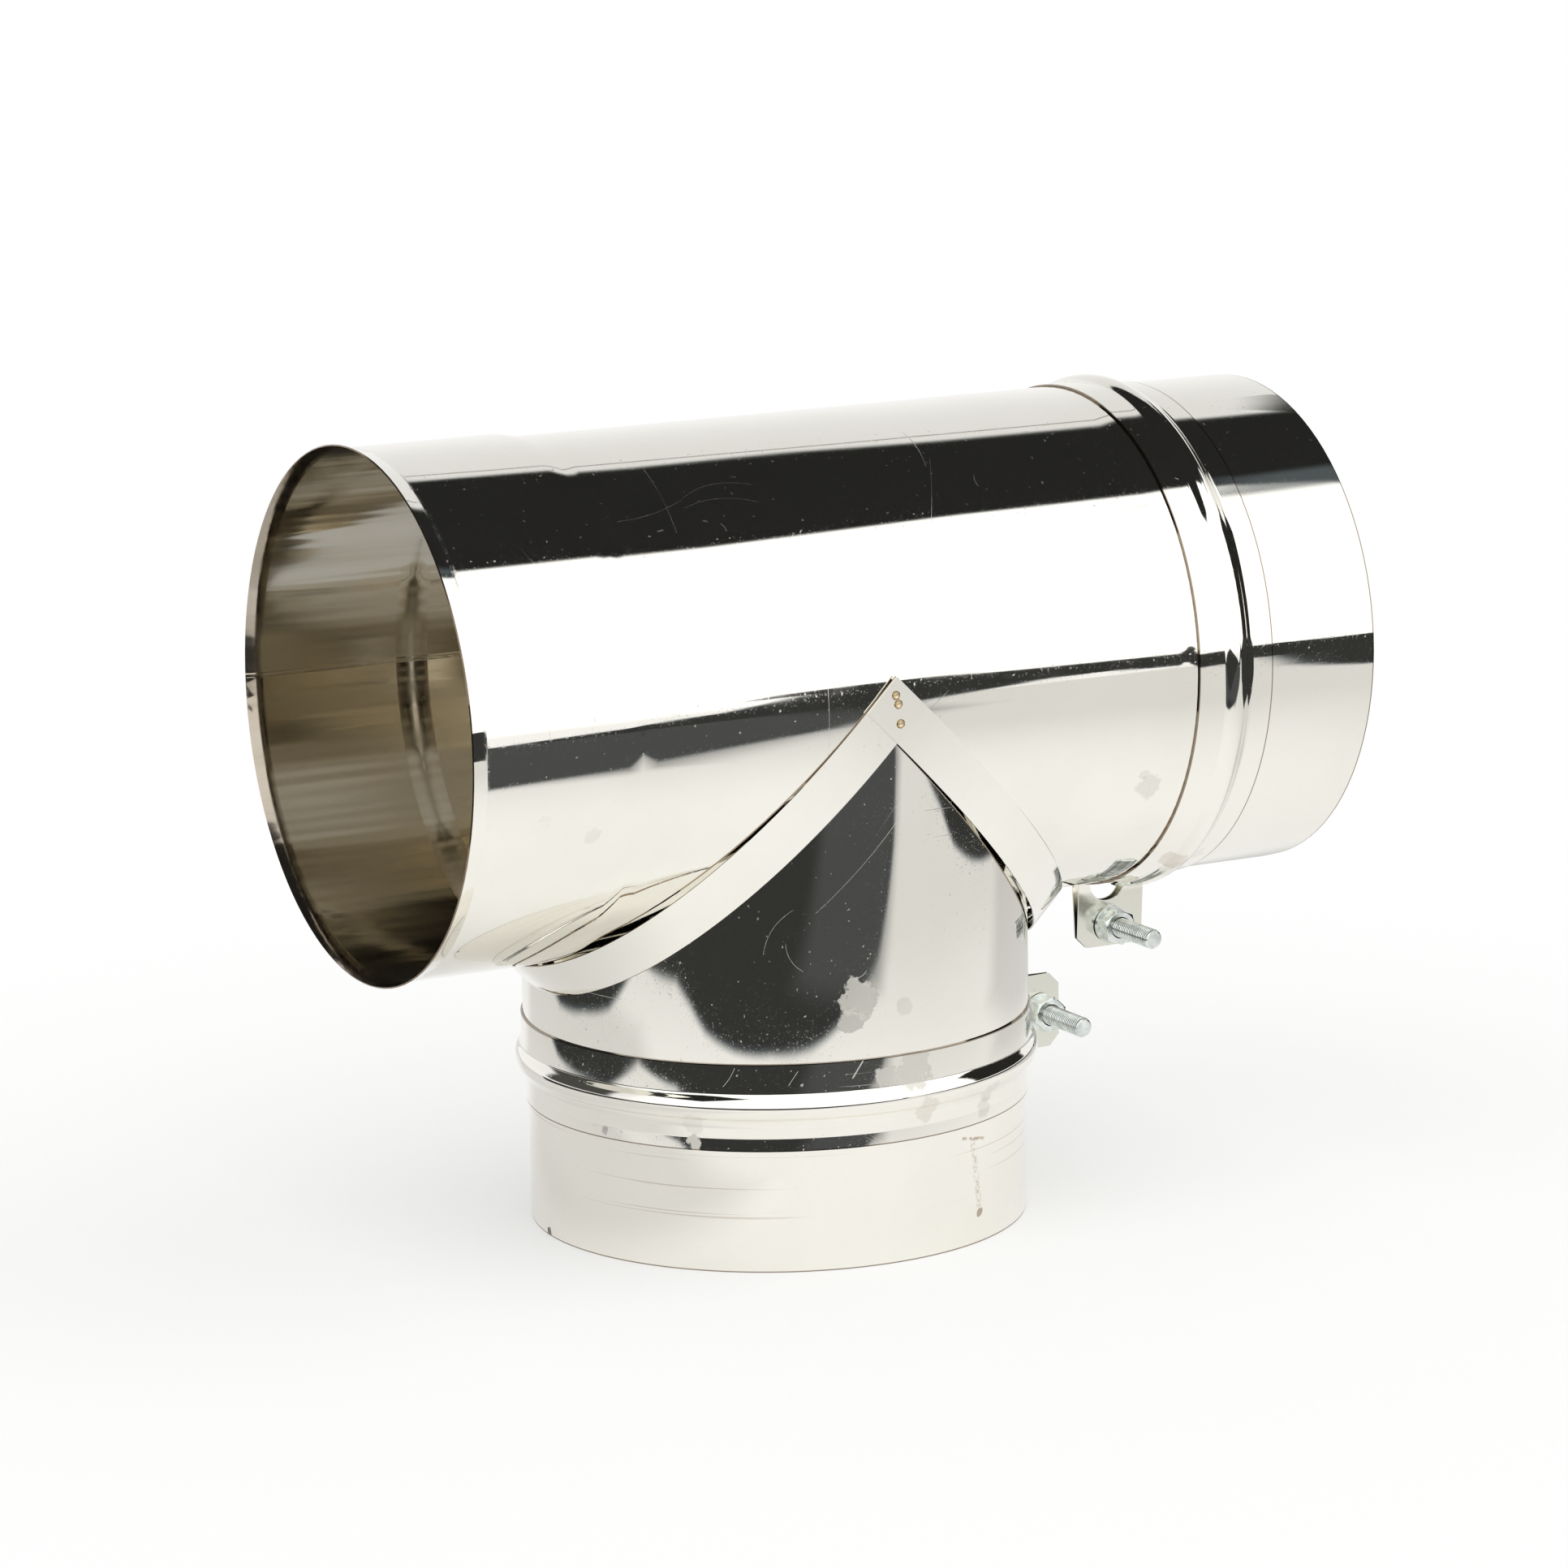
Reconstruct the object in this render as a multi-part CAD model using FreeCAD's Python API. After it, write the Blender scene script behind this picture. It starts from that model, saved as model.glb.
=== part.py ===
import FreeCAD, Part
import math
import os

# A single-wall stainless flue tee that stands on the rim of its branch spigot.
# Sizes are millimetres. +X runs along the main tube towards its spigot, +Z is up the branch axis,
# and the origin is the centre of the branch rim.

# Tubes. A crotch is where the belly of the main tube meets the branch.
body_diameter = 200.0
tube_sheet = 0.6
crotch_to_taper = 0.8
crotch_to_run_bead = 52.3
crotch_to_branch_bead = 51.2
mitre_gap = 0.15            # between the two tubes' cut edges, under the saddle strips

# Female end
socket_depth = 64.0
socket_taper = 13.0
lip_length = 6.5
lip_growth = 1.6

# Male ends
stop_clearance = 1.2        # rim of the next part's socket to the crest of the stop bead
fit_clearance = 2.5         # between a spigot and the socket that slides over it
bead_rise = 2.7
bead_flank = 8.4            # crest to the foot of the bead, along the axis
spigot_drop = 1.4           # how far the spigot wall lies inside the body wall
lead_in_length = 5.0
lead_in_drop = 0.3

# Saddle strips over the mitred joint
strip_width = 18.3
strip_sheet = 0.6
strip_clearance = 0.2       # at the flat laps, front and back
crotch_clearance = 0.8      # between the left strip and the socket wall

# Clamp bands
band_width = 34.6
band_sheet = 0.7
band_clearance = 0.1
ear_stand = 29.8            # body wall to the ears' outer edge
ear_inset = 0.5             # from the band's spigot-side edge
ear_step = 3.9              # from the band's body-side edge
ear_corner = 4.5
ear_tilt = 4.0              # degrees that each ear leans towards the other
ear_tip_gap = 0.7
ear_bend = 1.5              # inside radius of the fold
fold_run = 0.5              # plain band before the fold
relief_margin = 0.1         # how far the round hole in each fold reaches past the bead's foot

# Clamp fasteners
bolt_stand = 20.8           # body wall to the bolt axis
bolt_length = 38.0
thread_diameter = 8.0
thread_clearance = 0.1
hole_clearance = 0.5
nut_wall = 2.5              # thread to flat, on the nut and on the bolt's head
head_height = 5.3
nut_height = 6.5
washer_rim = 1.0            # outside the flats
washer_clearance = 0.2
washer_thickness = 1.6
seat_clearance = 0.05
tip_chamfer = 0.9
countersink = 0.4
corner_ease = 0.25
run_nut_turn = 38.0
branch_nut_turn = 17.0

body_radius = body_diameter / 2
spigot_radius = body_radius - spigot_drop
socket_radius = spigot_radius + fit_clearance + tube_sheet
bead_radius = body_radius + bead_rise
socket_reach = body_radius + crotch_to_taper + socket_taper + socket_depth
run_bead = body_radius + crotch_to_run_bead
branch_bead = body_radius + crotch_to_branch_bead
insertion = socket_depth + stop_clearance
branch_reach = branch_bead + insertion
ear_reach = body_radius + ear_stand
bolt_reach = body_radius + bolt_stand
tilt = math.radians(ear_tilt)
thread_radius = thread_diameter / 2
flat_radius = thread_radius + nut_wall
corner_radius = flat_radius / math.cos(math.radians(30))
washer_radius = flat_radius + washer_rim

ORIGIN = FreeCAD.Vector(0, 0, 0)
X_AXIS = FreeCAD.Vector(1, 0, 0)
Y_AXIS = FreeCAD.Vector(0, 1, 0)
Z_AXIS = FreeCAD.Vector(0, 0, 1)
ALONG_RUN = FreeCAD.Rotation(Y_AXIS, 90)
ALONG_BRANCH = FreeCAD.Rotation(X_AXIS, 180)
ALONG_BOLT = FreeCAD.Rotation(X_AXIS, 90)


def placed(shape, rotation, position=ORIGIN):
    """The shape turned about the junction of the two tube axes, then moved."""
    shape.Placement = FreeCAD.Placement(position, rotation) * shape.Placement
    return shape


def line(start, end):
    return Part.LineSegment(start, end).toShape()


def arc(start, middle, end):
    return Part.Arc(start, middle, end).toShape()


def face(edges):
    return Part.Face(Part.Wire(Part.sortEdges(edges)[0]))


def polygon(points):
    return Part.Face(Part.makePolygon(points + points[:1]))


def at(radius, height):
    """A point of a turned profile: the tube axis is local Z."""
    return FreeCAD.Vector(radius, 0, height)


def ogee(start, end):
    """Two equal tangent arcs between two stretches that run along the axis."""
    length = end.z - start.z
    rise = end.x - start.x
    bend = (length ** 2 + rise ** 2) / (4 * abs(rise))
    half_turn = math.asin(length / (2 * bend)) / 2
    inset = at(math.copysign(bend * (1 - math.cos(half_turn)), rise), bend * math.sin(half_turn))
    middle = (start + end) / 2
    return [arc(start, start + inset, middle), arc(middle, end - inset, end)]


def flare(root, rim):
    """One arc that leaves the wall at root along the axis and ends at the rim."""
    length = rim.z - root.z
    rise = rim.x - root.x
    half_turn = math.atan2(abs(rise), abs(length))
    bend = length / math.sin(2 * half_turn)
    sideways = math.copysign(bend * (1 - math.cos(half_turn)), rise)
    return arc(root, root + at(sideways, bend * math.sin(half_turn)), rim)


def bead(crest, foot_before, foot_after, top):
    """The rolled stop bead: an ogee up to the crest and one down to the spigot."""
    peak = at(top, crest)
    up = ogee(at(foot_before, crest - bead_flank), peak)
    return up + ogee(peak, at(foot_after, crest + bead_flank))


def sheet_section(outline, thickness):
    """The outline thickened to sheet: inwards when positive, outwards when negative."""
    return Part.Wire(Part.sortEdges(outline)[0]).makeOffset2D(thickness, 0, True, True)


def male_end(crest, start_height):
    """Outline from the plain body over the bead to the spigot's rim."""
    rim = at(spigot_radius - lead_in_drop, crest + insertion)
    lead_in = at(spigot_radius, rim.z - lead_in_length)
    edges = [line(at(body_radius, start_height), at(body_radius, crest - bead_flank))]
    edges += bead(crest, body_radius, spigot_radius, bead_radius)
    edges.append(line(at(spigot_radius, crest + bead_flank), lead_in))
    return edges + ogee(lead_in, rim)


def below_mitre(drop):
    """The space below the two 45 degree mitre planes, lowered by drop."""
    far = 2 * branch_reach
    corners = [FreeCAD.Vector(0, -far, -drop), FreeCAD.Vector(far, -far, -far - drop),
               FreeCAD.Vector(-far, -far, -far - drop)]
    return polygon(corners).extrude(Y_AXIS * 2 * far)


def run_tube():
    """Main tube: lipped socket, taper, body with the branch opening, bead and spigot."""
    rim = at(socket_radius + lip_growth, -socket_reach)
    lip = at(socket_radius, lip_length - socket_reach)
    shoulder = at(socket_radius, socket_depth - socket_reach)
    taper_end = at(body_radius, shoulder.z + socket_taper)
    outline = [line(lip, shoulder)] + ogee(shoulder, taper_end) + male_end(run_bead, taper_end.z)
    outline.append(flare(lip, rim))
    tube = sheet_section(outline, tube_sheet).revolve(ORIGIN, Z_AXIS, 360)
    return placed(tube, ALONG_RUN).cut(below_mitre(0))


def branch_tube():
    """Branch: mitred top, body, bead and spigot."""
    section = sheet_section(male_end(branch_bead, -body_radius), tube_sheet)
    tube = section.revolve(ORIGIN, Z_AXIS, 360)
    return placed(tube, ALONG_BRANCH).common(below_mitre(mitre_gap))


def saddle_strip(depth, angle):
    """A flat strip bent into half a hoop that bridges the mitre from front to back.

    The tubes are cut at 45 degrees, so the hoop is half an ellipse, and its two ends run on
    straight and flat over the front and back of the joint, depth away from the axes.
    """
    half = strip_width / 2
    bulge = (socket_radius - body_radius + crotch_clearance) * math.sqrt(2)
    reach = body_radius * math.sqrt(2) + bulge
    edges = []
    for skin in (0, strip_sheet):
        hoop = Part.Ellipse(FreeCAD.Vector(half, 0, 0), reach + skin, depth + skin)
        edges.append(Part.ArcOfEllipse(hoop, -math.pi / 2, math.pi / 2).toShape())
    for side in (-1, 1):
        near = side * depth
        far = side * (depth + strip_sheet)
        edges.append(line(FreeCAD.Vector(-half, near, 0), FreeCAD.Vector(half, near, 0)))
        edges.append(line(FreeCAD.Vector(-half, far, 0), FreeCAD.Vector(half, far, 0)))
        edges.append(line(FreeCAD.Vector(-half, near, 0), FreeCAD.Vector(-half, far, 0)))
    section = face(edges)
    section.translate(Z_AXIS * -half)
    return placed(section.extrude(Z_AXIS * strip_width), FreeCAD.Rotation(Y_AXIS, angle))


def left_saddle_strip():
    return saddle_strip(body_radius + strip_clearance, 135)


def right_saddle_strip():
    """The upper strip at the laps, so it clears the left strip's thickness."""
    return saddle_strip(body_radius + 2 * strip_clearance + strip_sheet, 45)


def ear_inside():
    """Distance from the tube axis to the plane of an ear's inner face."""
    return ear_reach * math.sin(tilt) + ear_tip_gap / 2 * math.cos(tilt)


def ear_front(height):
    """Where an ear's outer face lies across the clamp, at a height above the tube axis."""
    return (ear_inside() + band_sheet) / math.cos(tilt) - height * math.tan(tilt)


def fold_centre(radius):
    """Centre of the bend where a band of this inner radius turns out into its ear."""
    across = ear_inside() + band_sheet + ear_bend
    along = math.sqrt((radius + band_sheet + ear_bend) ** 2 - across ** 2)
    return FreeCAD.Vector(along, -across, 0)


def around(radius, turn):
    return FreeCAD.Vector(radius * math.cos(turn), -radius * math.sin(turn), 0)


def fold_section(radius, end_turn):
    """One end of the band seen along the tube: a little of the band, the fold and the ear."""
    centre = fold_centre(radius)
    middle_turn = (math.atan2(-centre.y, centre.x) + end_turn) / 2
    inward = (centre * -1).normalize()
    halfway = (inward + Y_AXIS).normalize()
    ear_ends = []
    band_ends = []
    edges = []
    for skin, bend in ((radius + band_sheet, ear_bend), (radius, ear_bend + band_sheet)):
        seam = centre + inward * bend
        root = centre + Y_AXIS * bend
        ear_ends.append(FreeCAD.Vector(2 * ear_reach, root.y, 0))
        band_ends.append(around(skin, end_turn))
        edges.append(arc(band_ends[-1], around(skin, middle_turn), seam))
        edges.append(arc(seam, centre + halfway * bend, root))
        edges.append(line(root, ear_ends[-1]))
    return face(edges + [line(*ear_ends), line(*band_ends)])


def ear_plate(low, high):
    """The outline of an ear seen along its bolt, with the two outer corners cut off."""
    shoulder = ear_reach - ear_corner
    corners = [(0, low), (shoulder, low), (ear_reach, low + ear_corner),
               (ear_reach, high - ear_corner), (shoulder, high), (0, high)]
    outline = polygon([FreeCAD.Vector(x, -body_radius, z) for x, z in corners])
    return outline.extrude(Y_AXIS * body_diameter)


def relief(crest):
    """Two punches for the round hole in one fold: half in the ear, half in the band."""
    fold = fold_centre(body_radius + band_clearance)
    centre = FreeCAD.Rotation(Z_AXIS, ear_tilt).multVec(fold)
    centre.z = crest
    radius = bead_flank + relief_margin
    in_ear = Part.makeCylinder(radius, -centre.y, centre, Y_AXIS)
    centre.x = bead_radius + 2 * band_sheet
    return in_ear, Part.makeCylinder(radius, body_radius / 2, centre, X_AXIS * -1)


def rolled_band(crest, end_turn):
    """The round part of a clamp: flat over the body and the spigot, with a bead between."""
    body_side = body_radius + band_clearance
    spigot_side = spigot_radius + band_clearance
    half = band_width / 2
    outline = [line(at(body_side, crest - half), at(body_side, crest - bead_flank))]
    outline += bead(crest, body_side, spigot_side, bead_radius + band_clearance)
    outline.append(line(at(spigot_side, crest + bead_flank), at(spigot_side, crest + half)))
    section = sheet_section(outline, -band_sheet)
    opening = math.degrees(end_turn - tilt)
    section.rotate(ORIGIN, Z_AXIS, opening)
    return section.revolve(ORIGIN, Z_AXIS, 360 - 2 * opening)


def folded_ear(crest, low, high, end_turn):
    """The front ear, leaning towards the other one."""
    body_side = fold_section(body_radius + band_clearance, end_turn)
    spigot_side = fold_section(spigot_radius + band_clearance, end_turn)
    body_side.translate(Z_AXIS * low)
    spigot_side.translate(Z_AXIS * crest)
    ear = body_side.extrude(Z_AXIS * (crest - low))
    ear = ear.fuse(spigot_side.extrude(Z_AXIS * (high - crest)))
    ear.rotate(ORIGIN, Z_AXIS, ear_tilt)
    return ear.common(ear_plate(low, high))


def clamp_band(crest):
    """One strip of sheet rolled round the bead, its two ends folded out as ears.

    The clamp's tube axis is local Z, and its ears stand out along local X.
    """
    low = crest - band_width / 2 + ear_step
    high = crest + band_width / 2 - ear_inset
    fold = fold_centre(spigot_radius + band_clearance)
    end_turn = math.atan2(-fold.y, fold.x) + fold_run / body_radius
    in_ear, in_band = relief(crest)
    ear = folded_ear(crest, low, high, end_turn).cut(in_ear).cut(in_band)
    band = rolled_band(crest, end_turn).cut(in_band).cut(in_band.mirror(ORIGIN, Y_AXIS))
    bolt_way = Part.makeCylinder(thread_radius + hole_clearance, body_diameter,
                                 FreeCAD.Vector(bolt_reach, -body_radius, (low + high) / 2), Y_AXIS)
    band = band.fuse([ear, ear.mirror(ORIGIN, Y_AXIS)])
    return band.cut(bolt_way).removeSplitter()


def turned_solid(points):
    """A solid turned round local Z from the corners of its half section."""
    return polygon(points).revolve(ORIGIN, Z_AXIS, 360)


def hexagon(height, turn):
    """A hexagonal blank on local Z, its upper corners eased by a 30 degree cone."""
    turns = [math.radians(turn + 60 * side) for side in range(6)]
    outline = polygon([around(corner_radius, -angle) for angle in turns])
    top = flat_radius - corner_ease
    fall = (corner_radius - top) * math.tan(math.radians(30))
    cone = turned_solid([at(0, 0), at(corner_radius, 0), at(corner_radius, height - fall),
                         at(top, height), at(0, height)])
    return outline.extrude(Z_AXIS * height).common(cone)


def bolt(seat):
    """Hexagon-head bolt on local Z: its head bears at -seat and its tip points up."""
    tip = bolt_length - seat
    shank = turned_solid([at(0, -seat), at(thread_radius, -seat),
                          at(thread_radius, tip - tip_chamfer),
                          at(thread_radius - tip_chamfer, tip), at(0, tip)])
    head = placed(hexagon(head_height, 0), ALONG_BRANCH, Z_AXIS * -seat)
    return head.fuse(shank).removeSplitter()


def washer(seat):
    inner = thread_radius + washer_clearance
    top = seat + washer_thickness
    return turned_solid([at(inner, seat), at(washer_radius, seat), at(washer_radius, top),
                         at(inner, top)])


def nut(seat, turn):
    """Plain hexagon nut whose bore opens out in a countersink at both faces."""
    bore = thread_radius + thread_clearance
    mouth = bore + countersink
    drill = turned_solid([at(0, 0), at(mouth, 0), at(bore, countersink),
                          at(bore, nut_height - countersink), at(mouth, nut_height),
                          at(0, nut_height)])
    blank = hexagon(nut_height, turn).cut(drill)
    blank.translate(Z_AXIS * seat)
    return blank


def fasteners(name, centre, nut_turn):
    """The bolt, washer and nut of one clamp, with the nut at the front."""
    head_seat = ear_front(bolt_reach - corner_radius) + seat_clearance
    washer_seat = ear_front(bolt_reach - washer_radius) + seat_clearance
    pieces = {name + "_bolt": bolt(head_seat),
              name + "_washer": washer(washer_seat),
              name + "_nut": nut(washer_seat + washer_thickness, nut_turn)}
    return {node: placed(piece, ALONG_BOLT, centre) for node, piece in pieces.items()}


def build():
    to_ear = (ear_step - ear_inset) / 2
    nodes = {"run_tube": run_tube(),
             "branch_tube": branch_tube(),
             "left_saddle_strip": left_saddle_strip(),
             "right_saddle_strip": right_saddle_strip(),
             "run_clamp_band": placed(clamp_band(run_bead), ALONG_RUN),
             "branch_clamp_band": placed(clamp_band(branch_bead), ALONG_BRANCH)}
    run_bolt = FreeCAD.Vector(run_bead + to_ear, 0, -bolt_reach)
    branch_bolt = FreeCAD.Vector(bolt_reach, 0, -branch_bead - to_ear)
    nodes.update(fasteners("run_clamp", run_bolt, run_nut_turn))
    nodes.update(fasteners("branch_clamp", branch_bolt, branch_nut_turn))
    os.makedirs("parts", exist_ok=True)
    for name, shape in nodes.items():
        shape.translate(Z_AXIS * branch_reach)
        shape.exportStep("parts/" + name + ".step")
        print(name, len(shape.Solids), shape.isValid(), round(shape.Volume, 1))


build()
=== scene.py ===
import bpy
import math
import random
from mathutils import Matrix, Vector

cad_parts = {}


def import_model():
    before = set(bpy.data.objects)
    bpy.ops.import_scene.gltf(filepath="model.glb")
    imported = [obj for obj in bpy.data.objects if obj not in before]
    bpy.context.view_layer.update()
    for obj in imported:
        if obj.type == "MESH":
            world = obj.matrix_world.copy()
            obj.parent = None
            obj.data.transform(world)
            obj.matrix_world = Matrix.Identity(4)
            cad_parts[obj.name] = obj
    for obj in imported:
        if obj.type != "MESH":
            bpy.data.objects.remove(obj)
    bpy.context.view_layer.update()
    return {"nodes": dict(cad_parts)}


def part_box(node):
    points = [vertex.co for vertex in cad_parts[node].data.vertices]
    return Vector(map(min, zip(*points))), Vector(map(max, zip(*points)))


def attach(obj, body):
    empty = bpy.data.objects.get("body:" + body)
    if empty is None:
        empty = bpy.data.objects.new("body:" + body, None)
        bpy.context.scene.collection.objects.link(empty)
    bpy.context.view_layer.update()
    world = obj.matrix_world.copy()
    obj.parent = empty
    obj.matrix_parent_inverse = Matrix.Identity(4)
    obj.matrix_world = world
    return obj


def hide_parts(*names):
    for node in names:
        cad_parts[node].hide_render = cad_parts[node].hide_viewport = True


# The looks of a polished stainless flue tee. Lengths are metres, in the frame of the CAD model:
# +X along the run towards its spigot, +Z up the branch, and the branch rim on the floor at z = 0.
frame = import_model()
nodes = frame["nodes"]

# Places read from the frame
run_low, run_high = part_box("run_tube")
run_height = (run_low.z + run_high.z) / 2
band_low, band_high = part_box("run_clamp_band")
foot_low, foot_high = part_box("branch_clamp_band")
run_crest = (band_low.x + band_high.x) / 2
branch_crest = (foot_low.z + foot_high.z) / 2
lap_front, lap_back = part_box("right_saddle_strip")

# Shapes of the turned sheet, for its exact shading
body_radius = 0.100
bead_flank = 0.0084
bead_rise = 0.0027
bead_drop = 0.0041
bridge_start = 0.0055
bridge_turn = 0.0011
bridge_slope = 0.055
flare_start = 0.0122
flare_turn = 0.0006
flare_slope = 0.085
lip_length = 0.0065
lip_turn = 0.0008
lip_slope = 0.246
taper_start = -0.1138
taper_end = -0.1008
taper_drop = 0.00030
flat_height = 0.019
flat_reach = 0.013
flat_fade = 0.004
swell_start = 0.126
swell_slope = 5.5
swell_hidden = 0.002
short_fade = 0.001

# Where the exact shading gives way: at cut edges by the normal, at the ears by the distance out
edge_cosine = 0.58
sheet_cosine = 0.64
sheet_reach = 0.1045
ear_reach = 0.1065
ear_start = 0.1055
ear_full = 0.1080

# Fine relief of the sheet
rim_width = 0.0006
seam_half = 0.0011
seam_crown = 0.0003
seam_height = 0.00012
strip_lean = 0.11
wave_height = 0.00015
flute_strength = 7.0
rub_depth = 0.00002

# Fasteners and welds
thread_pitch = 0.00125
thread_depth = 0.00077
thread_radius = 0.004
thread_gain = 1.3
thread_root = 0.12
thread_columns = 48
rows_a_turn = 8
tip_chamfer = 0.0009
head_height = 0.0053
corner_ease = 0.00025
chamfer_angle = math.pi / 6
crease_angle = math.radians(38)
weld_radius = 0.0018
weld_columns = 20

# A weld nugget from its middle outwards: share of the radius, and height over the sheet
weld_profile = [(0.25, 0.00006), (0.55, 0.00024), (0.78, 0.00026), (1.0, -0.0001)]

# Camera, fitted to the photograph
camera_place = Vector((-1.11127, -2.07257, 0.6519))
camera_azimuth = 28.319
camera_elevation = 11.567
camera_roll = -1.003
camera_lens = 140.38
sensor_width = 36.0
camera_reach = 60

# Polished sheet: what it turns a plain white into, outside and inside
sheet_light = (0.930, 0.910, 0.845)
sheet_dark = (0.900, 0.880, 0.810)
inside_light = (0.780, 0.740, 0.650)
inside_dark = (0.670, 0.625, 0.530)
inside_warm = (0.780, 0.670, 0.480)
# Colour of the cut edges; it also paints the shade in the gaps beside the edges and inside the lip
cut_edge_and_shade = (0.300, 0.240, 0.180)
ear_metal = (0.740, 0.730, 0.655)

# Zinc and weld metal
zinc_light = (0.840, 0.870, 0.845)
zinc_dark = (0.580, 0.630, 0.615)
# Painted shade in the thread's grooves
zinc_groove_shade = (0.080, 0.090, 0.080)
weld_gold = (0.860, 0.720, 0.460)
weld_brown = (0.300, 0.180, 0.080)

# Tints of the marks
dull = (0.68, 0.66, 0.60)
brown = (0.36, 0.25, 0.16)
soot = (0.10, 0.07, 0.05)

# Roughness of the sheet, and what each kind of mark adds to it
haze_low = 0.022
haze_high = 0.050
inside_smooth = 0.09
inside_rough = 0.19
rub_rough = 0.16
dust_rough = 0.22
scratch_rough = 0.26
ring_rough = 0.26
mark_rough = 0.34
scuff_rough = 0.30
ear_rough = 0.14

# How strongly marks and scuffs are coloured, and how strongly painted shade darkens the lip's inside
mark_tint = 0.85
scuff_tint = 0.35
lip_shade = 0.62

# Fine scratches: direction in degrees, scratches a metre, and strength
rub_ways = [(4.0, 1500.0, 0.6), (63.0, 1100.0, 0.4), (-38.0, 1300.0, 0.4), (88.0, 1700.0, 0.5)]

# Studio
floor_radius = 14.0
circle_sides = 96
floor_paper = (0.95, 0.95, 0.94, 1)
white = (1, 1, 1, 1)
shadow_start = 0.26
shadow_end = 0.75
shadow_glow = 0.38
far_floor_start = -3.0
far_floor_end = -5.0
backdrop_front = 1.28
backdrop_back = 0.79
horizon_glow = 0.95
backdrop_foot = 0.05
backdrop_top = 0.70
back_side = 0.20
front_side = -0.15
gap_height = 1.30 + run_height
gap_black = 0.018
room_black = 0.036
cloth_soft = 0.018

# Colours of the studio cards and of their glowing fringes
lamp_fringe = (8.5, 8.8, 8.6)
room_fringe = (3.0, 3.6, 4.0)
wall_fringe = (5, 5, 5)
room_colour = (0.98, 1.0, 0.98)
cool_glow = (0.80, 0.95, 1.05)
cool_sheen = (0.95, 1.0, 1.02)
warm_edge = (1.0, 0.97, 0.93)
cloth_shade = (1.0, 0.985, 0.96)
cloth_far = (1.0, 0.985, 0.95)


class Graph:
    """A node tree that is written as calls: each call adds one node and gives its output."""

    def __init__(self, tree):
        self.tree = tree
        tree.nodes.clear()

    def add(self, kind, values=(), **settings):
        node = self.tree.nodes.new(kind)
        for name, value in settings.items():
            setattr(node, name, value)
        pairs = values.items() if isinstance(values, dict) else enumerate(values)
        for key, value in pairs:
            if isinstance(value, bpy.types.NodeSocket):
                self.tree.links.new(value, node.inputs[key])
            elif value is not None:
                node.inputs[key].default_value = value
        return node

    def math(self, operation, *values, clamp=False):
        return self.add("ShaderNodeMath", values, operation=operation, use_clamp=clamp).outputs[0]

    def times(self, first, second):
        return self.math("MULTIPLY", first, second)

    def minus(self, first, second):
        return self.math("SUBTRACT", first, second)

    def apart(self, first, second):
        return self.math("ABSOLUTE", self.minus(first, second))

    def total(self, parts):
        value = parts[0]
        for part in parts[1:]:
            value = self.math("ADD", value, part)
        return value

    def vector(self, operation, *values):
        node = self.add("ShaderNodeVectorMath", values, operation=operation)
        gives_number = operation in ("DOT_PRODUCT", "LENGTH", "DISTANCE")
        return node.outputs["Value" if gives_number else "Vector"]

    def scaled(self, vector, x, y, z):
        return self.vector("MULTIPLY", vector, (x, y, z))

    def turned(self, vector, angle):
        values = {"Vector": vector, "Angle": angle}
        return self.add("ShaderNodeVectorRotate", values, rotation_type="Z_AXIS").outputs[0]

    def split(self, vector):
        return self.add("ShaderNodeSeparateXYZ", {0: vector}).outputs

    def joined(self, values):
        return self.add("ShaderNodeCombineXYZ", values).outputs[0]

    def ramp(self, value, low, high, out_low=0.0, out_high=1.0):
        """A smooth step: value from low..high turned into out_low..out_high and held outside."""
        values = {"Value": value, "From Min": low, "From Max": high,
                  "To Min": out_low, "To Max": out_high}
        node = self.add("ShaderNodeMapRange", values, interpolation_type="SMOOTHSTEP")
        return node.outputs["Result"]

    def between(self, share, first, second):
        """A number between two."""
        return self.add("ShaderNodeMix", {0: share, 2: first, 3: second}).outputs[0]

    def mix(self, factor, first, second):
        """A colour between two, each a socket or an RGB value."""
        node = self.add("ShaderNodeMix", data_type="RGBA")
        for key, value in ((0, factor), (6, first), (7, second)):
            if isinstance(value, bpy.types.NodeSocket):
                self.tree.links.new(value, node.inputs[key])
            elif key == 0:
                node.inputs[key].default_value = value
            else:
                node.inputs[key].default_value = (*value, 1)
        return node.outputs[2]

    def noise(self, vector, scale, detail=2.0, roughness=0.5):
        values = {"Vector": vector, "Scale": scale, "Detail": detail, "Roughness": roughness}
        return self.add("ShaderNodeTexNoise", values).outputs["Fac"]

    def normal(self):
        return self.add("ShaderNodeNewGeometry").outputs["Normal"]

    def attribute(self, name):
        return self.add("ShaderNodeAttribute", attribute_name=name).outputs["Fac"]

    def bump(self, height, distance, strength=1.0, normal=None):
        values = {"Strength": strength, "Distance": distance, "Height": height, "Normal": normal}
        return self.add("ShaderNodeBump", values).outputs[0]

    def glow(self, colour, strength):
        return self.add("ShaderNodeEmission", {"Color": colour, "Strength": strength})

    def blend(self, share, first, second):
        """The material's surface, between two shaders."""
        values = {0: share, 1: first.outputs[0], 2: second.outputs[0]}
        self.surface(self.add("ShaderNodeMixShader", values))

    def metal(self, colour, rough, normal):
        """The material's surface, a bare metal."""
        self.surface(self.add("ShaderNodeBsdfPrincipled", {
            "Base Color": colour, "Metallic": 1.0, "Roughness": rough, "Normal": normal}))

    def surface(self, shader):
        self.add("ShaderNodeOutputMaterial", {0: shader.outputs[0]})


def material(name):
    made = bpy.data.materials.new(name)
    made.use_nodes = True
    return made, Graph(made.node_tree)


def place(graph):
    """The point on the object, in metres, in the frame's axes."""
    return graph.add("ShaderNodeTexCoord").outputs["Object"]


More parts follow.
